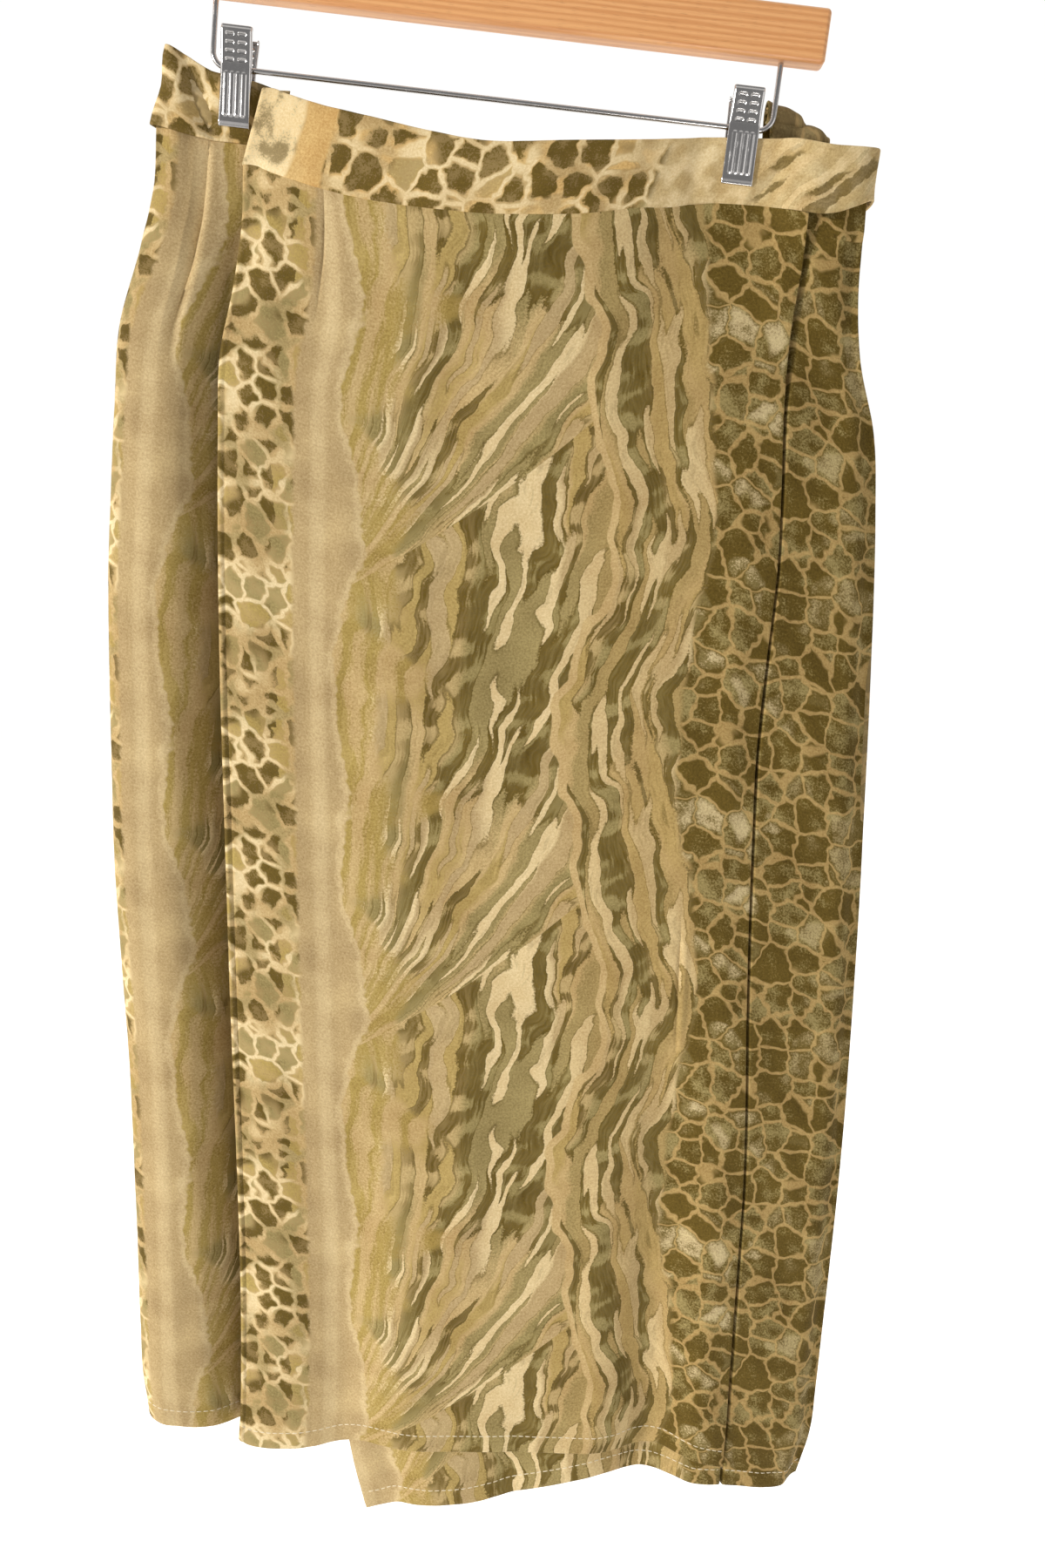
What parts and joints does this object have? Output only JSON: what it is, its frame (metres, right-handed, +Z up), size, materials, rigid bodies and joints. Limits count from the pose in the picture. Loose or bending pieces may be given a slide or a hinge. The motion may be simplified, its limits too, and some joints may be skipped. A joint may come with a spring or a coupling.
{
  "type": "wrap skirt on a clip hanger",
  "caption": "Long printed wrap skirt hung flat by its waistband from a straight wooden hanger with two metal clips.",
  "frame": {"origin": "inner top of the hanger's hook, where a rail carries it", "axes": "+Z up, +X to the right of someone who faces the skirt's front, -Y towards them"},
  "size_m": [0.464, 0.063, 0.9999],
  "materials": {
    "printed_cloth": "matt fine crepe with an all-over animal-skin print in olive, tan, greige and cream",
    "waistband_cloth": "the same printed crepe, doubled, the print turned along the band",
    "hanger_wood": "light orange-tan wood, satin lacquer",
    "clip_steel": "bright plated steel"
  },
  "bodies": {
    "root": {"over_wrap": "printed_cloth", "under_wrap": "printed_cloth", "side_front": "printed_cloth", "back_panel": "printed_cloth", "waistband_over": "waistband_cloth", "waistband_under": "waistband_cloth", "waistband_back": "waistband_cloth", "tie_tail": "waistband_cloth", "hanger_bar": "hanger_wood", "hanger_hook": "clip_steel", "clip_wire": "clip_steel", "clip_wire_left": "clip_steel", "clip_wire_right": "clip_steel", "clip_left_front": "clip_steel", "clip_left_back": "clip_steel", "clip_left_barrel": "clip_steel", "clip_right_front": "clip_steel", "clip_right_back": "clip_steel", "clip_right_barrel": "clip_steel"}
  },
  "joints": []
}
